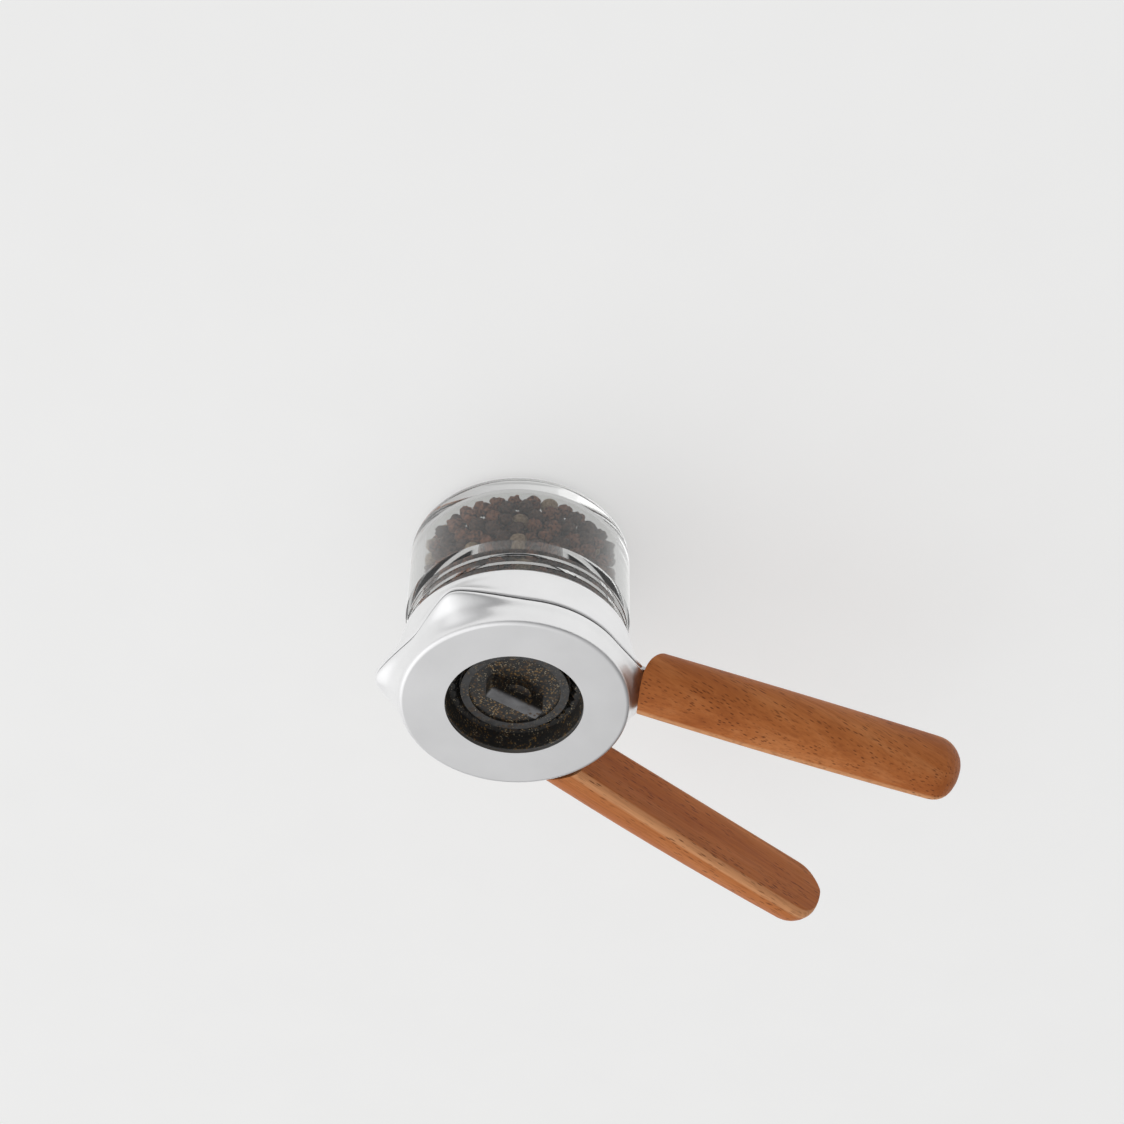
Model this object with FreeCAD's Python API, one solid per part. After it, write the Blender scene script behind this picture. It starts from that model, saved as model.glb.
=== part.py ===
"""Squeeze-handle pepper mill: glass jar, two-shell metal head, ratchet drive, ceramic burrs, beech handles.

Millimetres. The mill stands on its jar with the outlet up: Z runs from the jar's base to the outlet,
X runs along the middle of the two handles, and the origin is the centre of the jar's base.
"""
import FreeCAD
import Part
import math
import os

V = FreeCAD.Vector
ORIGIN = V(0, 0, 0)
UP = V(0, 0, 1)

OVER = 1.0                 # how far a cutting tool runs past the face that it cuts

# Clearances
RUN_CLEAR = 0.05           # radial running clearance of turning pieces
FACE_CLEAR = 0.15          # axial clearance of turning faces
FIT_CLEAR = 0.03           # glued or seated pieces
SWEEP_CLEAR = 0.35         # moving lug past the round shells

# Glass jar
JAR_R = 28.7
JAR_WALL = 3.4
JAR_FLOOR = 3.6
JAR_LIP_Z = 43.4           # height of the jar
JAR_EDGE_R = 4.0           # rounding of the base edge, outside
JAR_INNER_EDGE_R = 3.0     # rounding of the base edge, inside
LIP_ROUND = 0.7
NECK_HEIGHT = 17.4         # from the lip down to where the body starts to narrow
NECK_STEP = 2.2            # height of that slope
NECK_SET_BACK = 0.95       # the neck's wall inside the body's

# Thread of jar and collar
THREAD_PITCH = 3.0
THREAD_HEIGHT = 0.6
THREAD_BASE = 1.5          # ridge width at its foot
THREAD_CREST = 0.7         # ridge width at its top
THREAD_SINK = 0.3          # how far a ridge runs into its wall
THREAD_RUN_IN = 0.8        # from the neck's slope to the middle of the first ridge
THREAD_RUN_OUT = 0.5       # from the middle of the last ridge to the lip's rounding
THREAD_CLEAR = 0.25        # between a ridge's crest and the wall that it faces
THREAD_FLANK_CLEAR = 0.07  # between the flanks that bear on each other
COLLAR_THREAD_PITCH = 3    # whole pitches from the jar's first ridge to the collar's
COLLAR_THREAD_TURNS = 1.1

# Housing shells
COLLAR_WALL = 0.8          # round the thread
COLLAR_DEPTH = 6.8         # from the upper shell's floor to its jar-side edge
GASKET_THICK = 1.0
GASKET_SET_BACK = 0.1      # the gasket's bore outside the jar's
WEB_THICK = 1.6            # floor of the upper shell
UPPER_POCKET = 0.7         # from that floor to the shell's rim
SEAM_GAP = 1.2             # slot for the lever between the rims of the two shells
SEAM_LINE = 0.4            # the seam everywhere else
SLOT_START = -50.0         # the slot's ends, in degrees from the X axis
SLOT_END = 6.0
LOWER_HEIGHT = 7.6         # from the lower shell's rim to the outlet's face
BODY_WALL = 2.2
RING_SET_BACK = 0.5        # the outlet ring's edge inside the outline at the seam
RING_ROUND = 1.1
RING_THICK = 1.2
OUTLET_PROUD = 0.1         # the outlet's hole outside the burr
LIP_SET_BACK = 0.2         # the shells' rims round in at the seam
LIP_HEIGHT = 0.3
LUG_REACH = 5.6            # how far the pointed lugs stand out at the seam
LUG_SPREAD = 36.0          # degrees from a lug's tip to where its hollow flank meets the round wall
LUG_TIP_SHARE = 0.1        # share of that angle over which the tip turns
LUG_ANGLE = 31.0           # each lug's angle from the X axis

# Share of a lug's reach at each share of the shell's height, from the jar side up
UPPER_FLARE = ((0.0, 0.0), (0.25, 0.10), (0.5, 0.34), (0.75, 0.66), (1.0, 1.0))
LOWER_FLARE = ((0.0, 1.0), (0.3, 0.66), (0.6, 0.32), (0.85, 0.08), (1.0, 0.0))

# Dowel pins pressed into the lugs, which join the shells
DOWEL_R = 1.25
DOWEL_SET_BACK = 4.5       # from a lug's tip to its dowel
DOWEL_BELOW = 3.3          # reach below the middle of the seam
DOWEL_ABOVE = 3.0
BOSS_R = 2.4

# Handles, with their heights measured from the middle of the seam
HANDLE_ANGLE = 10.0        # open angle of each handle from the X axis
GRIP_OFFSET = 7.6          # distance from the mill's axis to a handle's flat inner face
GRIP_LENGTH = 91.6         # from the shells to the handle's end
GRIP_THICK = 12.8          # at the root
GRIP_END_THICK = 10.4
GRIP_TIP_SHARE = 0.25      # share of that thickness at the very end
GRIP_ABOVE = 6.9           # outlet-side edge at the root
GRIP_END_ABOVE = 4.3       # outlet-side edge at the end
GRIP_BELOW = 10.3          # jar-side edge at the root
GRIP_END_BELOW = 15.1      # jar-side edge near the end
GRIP_TIP_BELOW = 8.1       # the end's foremost point
GRIP_EDGE_R = 2.0          # rounding of the flat face's long edges
GRIP_EDGE_SHARE = 0.3      # the most of the section that this rounding takes
GRIP_END_REACH = 9.0       # length over which the end rounds off on the outlet side
GRIP_END_JAR_REACH = 7.5   # and on the jar side
GRIP_END_TURN = 84.0       # degrees of the end's rounding that the sections follow
GRIP_STATIONS = 8          # sections along the straight length
GRIP_END_STATIONS = 9      # sections round the end
GRIP_CURVE_STEPS = 8       # steps round a section's outer curve
ROOT_SINK = 8.8            # first section inside the shells' outline, before the root is hollowed
COPE_SET_BACK = 1.0        # the hollowed root outside the outlet ring's edge
COPE_FLARE = 9.6           # how much wider the hollow is at the jar-side edge
SEAT_CLEAR = 0.12          # between that hollow and the lug that it fits
TANG_LENGTH = 30.0
TANG_WIDTH = 8.0
TANG_SIDE = 2.2            # from the flat inner face to the tang
TANG_ROOT = 6.1            # how far the tang starts inside the dowel circle
TANG_ROOT_R = 5.8          # round root of the fixed tang about its dowel
TANG_SET_BACK = 1.0        # the fixed tang's root inside the lug's outline

# Lever and ratchet
SQUEEZE = 25.0             # lever travel in degrees
LUG_STOP_GAP = 2.4         # degrees between the squeezed lever's lug and the fixed lug's flank
PLATE_THICK = 0.9
PLATE_SET_BACK = 0.4       # the lever's ring inside the shells
NECK_HALF_ANGLE = 8.0      # half width of the lever's neck through the seam
NECK_LUG_DEPTH = 2.4       # from a lug's tip to the end of the neck inside it
BUSH_PROUD = 0.2           # the bush outside the ratchet's teeth
BUSH_WALL = 2.1
BUSH_FLANGE = 1.6
BUSH_FLANGE_SINK = 0.5     # how far the flange runs into the bush
BUSH_TOP_GAP = 0.1         # from the bush's top to the pawls
ROTOR_WALL = 1.2
ROTOR_DROP = 7.3           # from the middle of the seam down to the rotor's floor
ROTOR_FLOOR = 1.4
ROTOR_HUB_R = 4.6
ROTOR_SPOKES = 3
ROTOR_SPOKE_WIDTH = 3.2
RATCHET_TEETH = 30
RATCHET_DEPTH = 1.5
RATCHET_RISE = 0.3         # the teeth's lower face above the pawls'
RATCHET_HEIGHT = 2.0
PAWL_PIVOT_SET_BACK = 2.5  # from the shells' inner wall to a pawl's pin
PAWL_PIVOT_DROP = 2.9      # from that pin in to the teeth's tips
PAWL_PIN_R = 0.9
PAWL_EYE_R = 1.7
PAWL_EYE_SHARE = 0.8       # share of the eye's radius that the arm takes up
PAWL_THICK = 1.8
PAWL_NOSE_WIDTH = 1.3
PAWL_NOSE_GAP = 0.15
PAWL_NOSE_LIFT = 0.4       # nose above the teeth's root
PAWL_NOSE_BEVEL = 0.3      # the nose's outer corner below the arm's back
PAWL_HEEL_LIFT = 0.88      # back of the nose above the teeth's root
PAWL_HEEL_SHARE = 0.6      # share of the nose's width at its tip
PAWL_ARM = 1.3             # width of the arm
PAWL_ARM_GAP = 0.35        # arm outside the teeth's tips
PAWL_ARM_STEPS = (0.35, 0.7, 1.0)
PAWL_NOSE_TEETH = 2.5      # teeth from the pawl's pivot to its nose, so that it lifts straight out
PAWL_ANGLES = (60.0, 240.0)
PAWL_SPRING_THICK = 0.3
PAWL_SPRING_POST_R = 0.9
PAWL_SPRING_POST_OUT = 0.6   # the post outside the circle of the pawls' pins
PAWL_SPRING_SEAT = 0.4     # from the pawl's back to the middle of the spring's tip
PAWL_SPRING_REACH = 48.0   # degrees from the pawl's pivot to the spring's post
PAWL_SPRING_SHARE = 0.9    # share of the way to the nose where the spring presses

# Burrs, carrier and adjuster
BURR_HEIGHT = 7.2
BURR_FLOOR_GAP = 0.6       # from the rotor's floor to the outer burr
OUTER_BURR_ENTRY = 5.0     # thickness of the ring at its entrance
OUTER_BURR_EXIT = 2.2      # and at its exit
INNER_BURR_ENTRY_GAP = 4.6   # from the outer burr to the inner one at the entrance
INNER_BURR_EXIT_GAP = 1.15   # and at the exit
INNER_BURR_RISE = 0.9      # the inner burr's lower face above the outer one's
INNER_BURR_DROP = 0.6      # and its upper face below
INNER_BURR_RIM = 1.2       # straight rim at its exit
BURR_TEETH_OUTER = 36
BURR_TEETH_INNER = 24
BURR_TWIST_OUTER = 8.0     # degrees that a groove turns from end to end
BURR_TWIST_INNER = -10.0
BURR_GROOVE = 0.7
BURR_GROOVE_OVER = 0.5     # how far a groove's tool runs past the burr
CHUTE_STEP = 0.6           # the chute's foot inside the burr's outer wall
CHUTE_LIP = 0.2            # and its mouth inside the outlet's hole
CARRIER_WALL = 1.2
CARRIER_CLEAR = 0.25       # carrier inside the rotor's wall and above its top
CARRIER_FLANGE = 1.2
CARRIER_FLANGE_EDGE = 1.75   # flange outside the screws' circle
CARRIER_SCREWS = 3
CARRIER_SCREW_R = 0.9
CARRIER_SCREW_HEAD_R = 1.6
CARRIER_SCREW_HEAD = 0.75
CARRIER_SCREW_HEAD_GAP = 0.35   # from the heads to the rotor's top
CARRIER_SCREW_SIDE = 0.2   # from the heads to the carrier's step
CARRIER_SCREW_LENGTH = 2.6
CARRIER_BOSS_R = 1.9
SPINDLE_SIDE = 4.0
SPINDLE_HEAD_R = 3.2
SPINDLE_HEAD = 1.0
SPINDLE_THREAD_R = 1.9
SPINDLE_SQUARE_DROP = 1.0  # end of the square below the inner burr's face
SPINDLE_TOP_GAP = 0.3      # spindle's end below the nut's when fully adjusted
ADJUST_TRAVEL = 0.7        # how far the dial moves the inner burr
ADJUST_WIRE = 0.6
ADJUST_COIL_R = 3.5
ADJUST_TURNS = 3.5
ADJUST_POCKET_R = 4.4
ADJUST_POCKET = 2.5        # depth of the spring's pocket
WASHER_R = 4.6
WASHER_THICK = 0.4
WASHER_CLEAR = 0.3
DIAL_SET_BACK = 0.25       # dial inside the inner burr's rim
DIAL_RIM = 2.1             # width of the raised rim
DIAL_DISC = 0.9
DIAL_RIM_HEIGHT = 1.6
DIAL_BOSS_R = 4.2
DIAL_BOSS_HEIGHT = 3.4
DIAL_BAR_LENGTH = 15.0
DIAL_BAR_WIDTH = 3.6
DIAL_BAR_HEIGHT = 6.1
DIAL_BAR_ROUND = 0.6
NUT_R = 3.0
NUT_HEIGHT = 2.7

# Return spring
RETURN_SET_BACK = 2.3      # from the shells' inner wall to the middle of the wire
RETURN_WIRE = 0.9
RETURN_TURN_GAP = 0.15
RETURN_TURNS = 2.0
RETURN_RISE = 0.6          # spring above the pawls' pins
RETURN_LOWER_ANGLE = 150.0
RETURN_STOP_R = 0.9
RETURN_STOP_OVER = 0.5     # how far a stop reaches past the wire's centre
RETURN_STOP_SINK = 0.2     # how far the boss runs into the outlet's ring

# Radii that follow from these, from the jar in
JAR_BORE_R = JAR_R - JAR_WALL
NECK_ROOT_R = JAR_R - NECK_SET_BACK
COLLAR_BORE_R = NECK_ROOT_R + THREAD_HEIGHT + THREAD_CLEAR
BODY_R = COLLAR_BORE_R + COLLAR_WALL
RING_R = BODY_R - RING_SET_BACK
CAVITY_R = BODY_R - BODY_WALL
LUG_TIP_R = BODY_R + LUG_REACH
DOWEL_CIRCLE_R = LUG_TIP_R - DOWEL_SET_BACK
GASKET_IN_R = JAR_BORE_R + GASKET_SET_BACK
PLATE_R = CAVITY_R - PLATE_SET_BACK
PAWL_PIVOT_R = CAVITY_R - PAWL_PIVOT_SET_BACK
RETURN_COIL_R = CAVITY_R - RETURN_SET_BACK
RETURN_PITCH = RETURN_WIRE + RETURN_TURN_GAP
RATCHET_TIP_R = PAWL_PIVOT_R - PAWL_PIVOT_DROP
RATCHET_ROOT_R = RATCHET_TIP_R - RATCHET_DEPTH
BUSH_R = RATCHET_TIP_R + BUSH_PROUD
BUSH_FLANGE_R = BUSH_R + BUSH_FLANGE
ROTOR_R = BUSH_R - BUSH_WALL - RUN_CLEAR
ROTOR_IN_R = ROTOR_R - ROTOR_WALL
CARRIER_R = ROTOR_IN_R - CARRIER_CLEAR
CARRIER_SCREW_CIRCLE_R = ROTOR_R + CARRIER_SCREW_SIDE + CARRIER_SCREW_HEAD_R
CARRIER_FLANGE_R = CARRIER_SCREW_CIRCLE_R + CARRIER_FLANGE_EDGE
BURR_R = CARRIER_R - CARRIER_WALL
OUTLET_HOLE_R = BURR_R + OUTLET_PROUD
CHUTE_R = BURR_R - CHUTE_STEP
OUTER_BURR_IN_R = BURR_R - OUTER_BURR_ENTRY
OUTER_BURR_OUT_R = BURR_R - OUTER_BURR_EXIT
INNER_BURR_IN_R = OUTER_BURR_IN_R - INNER_BURR_ENTRY_GAP
INNER_BURR_OUT_R = OUTER_BURR_OUT_R - INNER_BURR_EXIT_GAP
DIAL_R = INNER_BURR_OUT_R - DIAL_SET_BACK
DIAL_RIM_IN_R = DIAL_R - DIAL_RIM
COPE_OUTLET_R = RING_R + COPE_SET_BACK
GRIP_END = BODY_R + GRIP_LENGTH

# Heights that follow, from the jar up
NECK_Z = JAR_LIP_Z - NECK_HEIGHT
JAR_THREAD_START = NECK_Z + NECK_STEP + THREAD_RUN_IN
JAR_THREAD_TURNS = (JAR_LIP_Z - LIP_ROUND - THREAD_RUN_OUT - JAR_THREAD_START) / THREAD_PITCH
WEB_UNDER_Z = JAR_LIP_Z + GASKET_THICK
WEB_TOP_Z = WEB_UNDER_Z + WEB_THICK
COLLAR_Z = WEB_UNDER_Z - COLLAR_DEPTH
UPPER_RIM_Z = WEB_TOP_Z + UPPER_POCKET
LOWER_RIM_Z = UPPER_RIM_Z + SEAM_GAP
SEAM_Z = (UPPER_RIM_Z + LOWER_RIM_Z) / 2
SEAM_TOP_Z = LOWER_RIM_Z - SEAM_LINE
OUTLET_Z = LOWER_RIM_Z + LOWER_HEIGHT
RING_UNDER_Z = OUTLET_Z - RING_THICK
DOWEL_LOW_Z = SEAM_Z - DOWEL_BELOW
DOWEL_TOP_Z = SEAM_Z + DOWEL_ABOVE
GRIP_JAR_Z = SEAM_Z - GRIP_BELOW
PLATE_Z = SEAM_Z - PLATE_THICK / 2
PLATE_TOP_Z = PLATE_Z + PLATE_THICK
PAWL_Z = PLATE_TOP_Z + FACE_CLEAR
PAWL_TOP_Z = PAWL_Z + PAWL_THICK
PIN_TOP_Z = PAWL_TOP_Z + FACE_CLEAR
RETURN_Z = PIN_TOP_Z + RETURN_RISE + RETURN_WIRE / 2
RATCHET_Z = PAWL_Z + RATCHET_RISE
ROTOR_TOP_Z = RATCHET_Z + RATCHET_HEIGHT
ROTOR_FLOOR_Z = SEAM_Z - ROTOR_DROP
BURR_BOTTOM_Z = ROTOR_FLOOR_Z + ROTOR_FLOOR + BURR_FLOOR_GAP
BURR_TOP_Z = BURR_BOTTOM_Z + BURR_HEIGHT
INNER_BURR_BOTTOM_Z = BURR_BOTTOM_Z + INNER_BURR_RISE
INNER_BURR_TOP_Z = BURR_TOP_Z - INNER_BURR_DROP
ROTOR_HUB_TOP_Z = INNER_BURR_BOTTOM_Z - ADJUST_TRAVEL - FACE_CLEAR
ADJUST_POCKET_TOP_Z = INNER_BURR_BOTTOM_Z + ADJUST_POCKET
CARRIER_FLANGE_Z = ROTOR_TOP_Z + CARRIER_SCREW_HEAD_GAP + CARRIER_SCREW_HEAD
CARRIER_FLANGE_TOP_Z = CARRIER_FLANGE_Z + CARRIER_FLANGE
DIAL_Z = INNER_BURR_TOP_Z + WASHER_THICK
NUT_TOP_Z = DIAL_Z + NUT_HEIGHT
SPINDLE_SQUARE_TOP_Z = INNER_BURR_TOP_Z - SPINDLE_SQUARE_DROP
SPINDLE_TOP_Z = NUT_TOP_Z - ADJUST_TRAVEL - SPINDLE_TOP_GAP


def polar(radius, degrees, z=0.0):
    a = math.radians(degrees)
    return V(radius * math.cos(a), radius * math.sin(a), z)


def cylinder(radius, z0, z1, centre=ORIGIN):
    return Part.makeCylinder(radius, z1 - z0, V(centre.x, centre.y, z0))


def tube(outer, inner, z0, z1, centre=ORIGIN):
    return cylinder(outer, z0, z1, centre).cut(cylinder(inner, z0, z1, centre))


def revolve(points):
    """Solid of revolution about Z from (radius, z) points in order."""
    corners = [V(r, 0, z) for r, z in points]
    wire = Part.makePolygon(corners + corners[:1])
    return Part.Face(wire).revolve(ORIGIN, UP, 360)


def square_bar(side, z0, z1):
    return Part.makeBox(side, side, z1 - z0, V(-side / 2, -side / 2, z0))


def extrude_outline(points, z0, z1):
    """Prism from (x, y) corners."""
    corners = [V(x, y, z0) for x, y in points]
    face = Part.Face(Part.makePolygon(corners + corners[:1]))
    return face.extrude(V(0, 0, z1 - z0))


def turned(shape, degrees):
    copy = shape.copy()
    copy.rotate(ORIGIN, UP, degrees)
    return copy


def mirrored(shape):
    return shape.mirror(ORIGIN, V(0, 1, 0))


def lug_share(off):
    """Share of a lug's reach at an angle from its tip: a round tip between hollow flanks."""
    fall = math.hypot(off / LUG_SPREAD, LUG_TIP_SHARE)
    return (max(0.0, 1.0 - fall) / (1.0 - LUG_TIP_SHARE)) ** 2


def lug_radius(angle, lugs, circle_r, tip_r):
    """The housing's outline at a height: a circle drawn out to lugs."""
    offs = [(angle - lug + 180.0) % 360.0 - 180.0 for lug in lugs]
    return circle_r + (tip_r - circle_r) * sum(lug_share(off) for off in offs)


def outline_angles(lugs):
    """Every 4 degrees, and closer where a lug's tip turns."""
    fine = {round((lug + step) % 360.0, 3) for lug in lugs for step in range(-8, 9, 2)}
    coarse = {float(a) for a in range(0, 360, 4)}
    far = {a for a in coarse if all(abs((a - lug + 180) % 360 - 180) > 9.5 for lug in lugs)}
    return sorted(fine | far)


def flared_solid(lugs, levels):
    """Loft of the outline through (z, circle radius, tip radius) levels."""
    angles = outline_angles(lugs)
    wires = []
    for z, circle_r, tip_r in levels:
        points = [polar(lug_radius(a, lugs, circle_r, tip_r), a, z) for a in angles]
        curve = Part.BSplineCurve()
        curve.interpolate(points, PeriodicFlag=True)
        wires.append(Part.Wire(curve.toShape()))
    return Part.makeLoft(wires, True, False)


def upper_levels(extra=0.0):
    """Flare of the upper shell, from the collar's edge to the seam."""
    rise = SEAM_TOP_Z - LIP_HEIGHT - COLLAR_Z
    levels = [(COLLAR_Z + rise * t, BODY_R + extra, BODY_R + LUG_REACH * g + extra) for t, g in UPPER_FLARE]
    levels.append((SEAM_TOP_Z, BODY_R - LIP_SET_BACK + extra, LUG_TIP_R - LIP_SET_BACK + extra))
    return levels


def lower_levels(extra=0.0):
    """Flare of the lower shell, from the seam to below the outlet ring's edge."""
    low = LOWER_RIM_Z + LIP_HEIGHT
    rise = OUTLET_Z - RING_ROUND - low
    levels = [(LOWER_RIM_Z, BODY_R - LIP_SET_BACK + extra, LUG_TIP_R - LIP_SET_BACK + extra)]
    for t, g in LOWER_FLARE:
        circle = BODY_R - RING_SET_BACK * t
        levels.append((low + rise * t, circle + extra, circle + LUG_REACH * g + extra))
    return levels


def lug_levels(extra=0.0):
    """The flare of both shells in one, across the seam."""
    return upper_levels(extra)[:-1] + lower_levels(extra)[1:]


FIXED_LUGS = (LUG_ANGLE, 180.0 - LUG_ANGLE, 180.0 + LUG_ANGLE)
LEVER_LUG = -LUG_ANGLE


def helix_ridge(wall_r, start, turns, outward):
    """Trapezoid thread ridge on a wall, as one solid."""
    sign = 1 if outward else -1
    foot = wall_r - sign * THREAD_SINK
    crest = wall_r + sign * THREAD_HEIGHT
    half_foot = THREAD_BASE / 2
    half_crest = THREAD_CREST / 2
    corners = [V(foot, 0, start - half_foot), V(crest, 0, start - half_crest),
               V(crest, 0, start + half_crest), V(foot, 0, start + half_foot)]
    profile = Part.makePolygon(corners + corners[:1])
    helix = Part.makeHelix(THREAD_PITCH, THREAD_PITCH * turns, wall_r)
    helix.translate(V(0, 0, start))
    return Part.Wire(helix).makePipeShell([profile], True, True)


def collar_thread_start():
    """Height of the collar's ridge, bearing on the outlet side of one of the jar's."""
    half_foot = THREAD_BASE / 2
    half_crest = THREAD_CREST / 2
    jar_half = half_foot - (half_foot - half_crest) * THREAD_CLEAR / THREAD_HEIGHT
    step = jar_half + half_crest + THREAD_FLANK_CLEAR
    return JAR_THREAD_START + COLLAR_THREAD_PITCH * THREAD_PITCH + step


def make_glass_jar():
    """Straight-sided jar with a thick flat base and an outside thread on its neck."""
    bore_r = JAR_BORE_R
    neck_r = NECK_ROOT_R
    lip_z = JAR_LIP_Z
    e = JAR_EDGE_R
    k = JAR_INNER_EDGE_R
    c = LIP_ROUND
    step_top = NECK_Z + NECK_STEP
    root = math.sqrt(0.5)
    edges = [
        Part.LineSegment(V(0, 0, 0), V(JAR_R - e, 0, 0)),
        Part.Arc(V(JAR_R - e, 0, 0), V(JAR_R - e + e * root, 0, e - e * root), V(JAR_R, 0, e)),
        Part.LineSegment(V(JAR_R, 0, e), V(JAR_R, 0, NECK_Z)),
        Part.LineSegment(V(JAR_R, 0, NECK_Z), V(neck_r, 0, step_top)),
        Part.LineSegment(V(neck_r, 0, step_top), V(neck_r, 0, lip_z - c)),
        Part.Arc(V(neck_r, 0, lip_z - c), V(neck_r - c * (1 - root), 0, lip_z - c * (1 - root)),
                 V(neck_r - c, 0, lip_z)),
        Part.LineSegment(V(neck_r - c, 0, lip_z), V(bore_r, 0, lip_z)),
        Part.LineSegment(V(bore_r, 0, lip_z), V(bore_r, 0, JAR_FLOOR + k)),
        Part.Arc(V(bore_r, 0, JAR_FLOOR + k),
                 V(bore_r - k * (1 - root), 0, JAR_FLOOR + k * (1 - root)),
                 V(bore_r - k, 0, JAR_FLOOR)),
        Part.LineSegment(V(bore_r - k, 0, JAR_FLOOR), V(0, 0, JAR_FLOOR)),
        Part.LineSegment(V(0, 0, JAR_FLOOR), V(0, 0, 0)),
    ]
    face = Part.Face(Part.Wire([edge.toShape() for edge in edges]))
    body = face.revolve(ORIGIN, UP, 360)
    ridge = helix_ridge(NECK_ROOT_R, JAR_THREAD_START, JAR_THREAD_TURNS, True)
    return body.fuse(ridge)


def make_jar_gasket():
    """Flat silicone ring between the jar's lip and the upper shell's floor."""
    outer = NECK_ROOT_R - LIP_ROUND
    return tube(outer, GASKET_IN_R, JAR_LIP_Z, WEB_UNDER_Z)


def dowel_points():
    """Dowel places, one in each fixed lug."""
    return [polar(DOWEL_CIRCLE_R, a) for a in FIXED_LUGS]


def make_upper_shell():
    """Jar-side shell: threaded collar, floor with the bush's seat, and the lugs' lower halves."""
    shell = flared_solid(FIXED_LUGS, upper_levels())
    shell = shell.cut(cylinder(COLLAR_BORE_R, COLLAR_Z - OVER, WEB_UNDER_Z))
    shell = shell.cut(cylinder(BUSH_R, WEB_UNDER_Z - OVER, WEB_TOP_Z + OVER))
    shell = shell.cut(cylinder(CAVITY_R, WEB_TOP_Z, LOWER_RIM_Z))
    shell = shell.cut([lever_slot(), tang_plate(FIT_CLEAR)])
    for place, lug in zip(dowel_points(), FIXED_LUGS):
        if lug != LUG_ANGLE:
            shell = shell.fuse(cylinder(BOSS_R, UPPER_RIM_Z - OVER, LOWER_RIM_Z, place))
        shell = shell.cut(cylinder(DOWEL_R, DOWEL_LOW_Z, LOWER_RIM_Z + OVER, place))
    return shell.fuse(helix_ridge(COLLAR_BORE_R, collar_thread_start(), COLLAR_THREAD_TURNS, False))


def lever_slot():
    """The sector of the seam that the lever's neck sweeps."""
    sector = Part.makeCylinder(LUG_TIP_R + OVER, SEAM_GAP, V(0, 0, UPPER_RIM_Z), UP, SLOT_END - SLOT_START)
    return turned(sector, SLOT_START)


def make_lower_shell():
    """Outlet-side shell: flared wall, flat outlet ring with its rounded edge, bosses inside."""
    wall = flared_solid(FIXED_LUGS, lower_levels() + [(OUTLET_Z, RING_R, RING_R)])
    rim = [e for e in wall.Edges if e.BoundBox.ZMin > OUTLET_Z - 0.01]
    shell = wall.makeFillet(RING_ROUND, rim)
    shell = shell.cut(cylinder(CAVITY_R, LOWER_RIM_Z - OVER, RING_UNDER_Z))
    shell = shell.cut(cylinder(OUTLET_HOLE_R, RING_UNDER_Z - OVER, OUTLET_Z + OVER))
    for place in dowel_points():
        shell = shell.cut(cylinder(DOWEL_R, LOWER_RIM_Z - OVER, DOWEL_TOP_Z, place))
    for place in carrier_screw_points():
        boss = cylinder(CARRIER_BOSS_R, CARRIER_FLANGE_TOP_Z, RING_UNDER_Z, place)
        pilot_top = CARRIER_FLANGE_Z + CARRIER_SCREW_LENGTH
        shell = shell.fuse(boss).cut(cylinder(CARRIER_SCREW_R, CARRIER_FLANGE_Z, pilot_top, place))
    stop_z = RETURN_Z + RETURN_PITCH * RETURN_TURNS - RETURN_STOP_OVER
    return shell.fuse(cylinder(RETURN_STOP_R, stop_z, RING_UNDER_Z + RETURN_STOP_SINK, return_stop(True)))


def make_housing_dowels():
    """One press-fit dowel in each fixed lug."""
    return Part.makeCompound([cylinder(DOWEL_R, DOWEL_LOW_Z, DOWEL_TOP_Z, place) for place in dowel_points()])


def end_share(x, reach):
    """Falls from 1 to 0 along a quarter ellipse over the last reach of the handle."""
    run = max(0.0, x - (GRIP_END - reach)) / reach
    return math.sqrt(max(0.0, 1.0 - run * run))


def grip_section(x):
    """D-shaped section of a handle at distance x from the mill's axis, flat face at y = GRIP_OFFSET."""
    share = (x - BODY_R) / GRIP_LENGTH
    tip_z = SEAM_Z - GRIP_TIP_BELOW
    above = GRIP_ABOVE + (GRIP_END_ABOVE - GRIP_ABOVE) * share ** 2
    below = GRIP_BELOW + (GRIP_END_BELOW - GRIP_BELOW) * share
    thick = GRIP_THICK + (GRIP_END_THICK - GRIP_THICK) * share ** 2
    top = tip_z + (above + GRIP_TIP_BELOW) * end_share(x, GRIP_END_REACH)
    low = tip_z - (below - GRIP_TIP_BELOW) * end_share(x, GRIP_END_JAR_REACH)
    thick *= GRIP_TIP_SHARE + (1 - GRIP_TIP_SHARE) * end_share(x, GRIP_END_REACH)
    e = min(GRIP_EDGE_R, GRIP_EDGE_SHARE * thick, GRIP_EDGE_SHARE * (top - low))
    y0 = GRIP_OFFSET
    middle = (top + low) / 2
    half = (top - low) / 2
    corner = e * (1 - math.sqrt(0.5))
    outer = []
    for i in range(GRIP_CURVE_STEPS + 1):
        a = math.pi / 2 - math.pi * i / GRIP_CURVE_STEPS
        outer.append(V(x, y0 + e + (thick - e) * math.cos(a), middle + half * math.sin(a)))
    curve = Part.BSplineCurve()
    curve.interpolate(outer, InitialTangent=V(0, 1, 0), FinalTangent=V(0, -1, 0))
    return Part.Wire([
        Part.LineSegment(V(x, y0, low + e), V(x, y0, top - e)).toShape(),
        Part.Arc(V(x, y0, top - e), V(x, y0 + corner, top - corner), V(x, y0 + e, top)).toShape(),
        curve.toShape(),
        Part.Arc(V(x, y0 + e, low), V(x, y0 + corner, low + corner), V(x, y0, low + e)).toShape(),
    ])


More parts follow.
